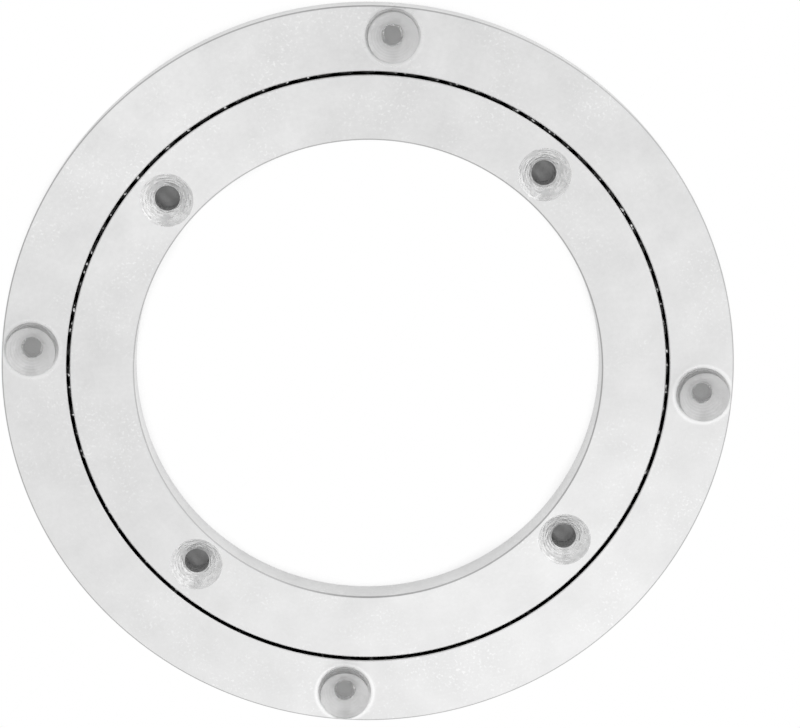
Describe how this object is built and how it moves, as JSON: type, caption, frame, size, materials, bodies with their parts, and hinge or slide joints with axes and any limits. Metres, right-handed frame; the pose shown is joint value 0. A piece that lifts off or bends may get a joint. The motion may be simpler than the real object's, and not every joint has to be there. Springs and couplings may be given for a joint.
{
  "type": "lazy susan bearing",
  "caption": "Flat round aluminium turntable bearing: an inner ring with countersunk screw holes turns inside an outer ring with clear pads on a hidden row of steel balls.",
  "frame": {"origin": "on the bearing's axis, in the plain face of the inner ring that the part rests on", "axes": "+Z along the bearing's axis, towards the face with the pads and countersinks"},
  "size_m": [0.12, 0.12, 0.0084],
  "materials": {
    "outer_ring_metal": "fine matt blasted and clear anodised",
    "inner_ring_metal": "fine matt blasted and clear anodised",
    "plug_metal": "turned",
    "ball_steel": "polished bearing steel",
    "pad_silicone": "clear smooth silicone"
  },
  "bodies": {
    "outer_ring_body": {"outer_ring": "outer_ring_metal", "filling_plug": "plug_metal", "pad_1": "pad_silicone", "pad_2": "pad_silicone", "pad_3": "pad_silicone", "pad_4": "pad_silicone"},
    "inner_ring_body": {"inner_ring": "inner_ring_metal"},
    "ball_train": {"ball_set_01": "ball_steel", "ball_set_02": "ball_steel", "ball_set_03": "ball_steel", "ball_set_04": "ball_steel", "ball_set_05": "ball_steel", "ball_set_06": "ball_steel", "ball_set_07": "ball_steel", "ball_set_08": "ball_steel", "ball_set_09": "ball_steel", "ball_set_10": "ball_steel", "ball_set_11": "ball_steel", "ball_set_12": "ball_steel", "ball_set_13": "ball_steel", "ball_set_14": "ball_steel", "ball_set_15": "ball_steel", "ball_set_16": "ball_steel", "ball_set_17": "ball_steel", "ball_set_18": "ball_steel", "ball_set_19": "ball_steel", "ball_set_20": "ball_steel", "ball_set_21": "ball_steel", "ball_set_22": "ball_steel"}
  },
  "joints": [
    {"name": "inner_ring_turn", "type": "hinge", "parent": "outer_ring_body", "child": "inner_ring_body", "pos_m": [0, 0, 0.0033], "axis": [0, 0, 1], "continuous": true},
    {"name": "ball_train_turn", "type": "hinge", "parent": "outer_ring_body", "child": "ball_train", "pos_m": [0, 0, 0.0033], "axis": [0, 0, 1], "continuous": true}
  ],
  "couplings": [
    {"joint": "ball_train_turn", "follows": "inner_ring_turn", "ratio": 0.4822}
  ]
}
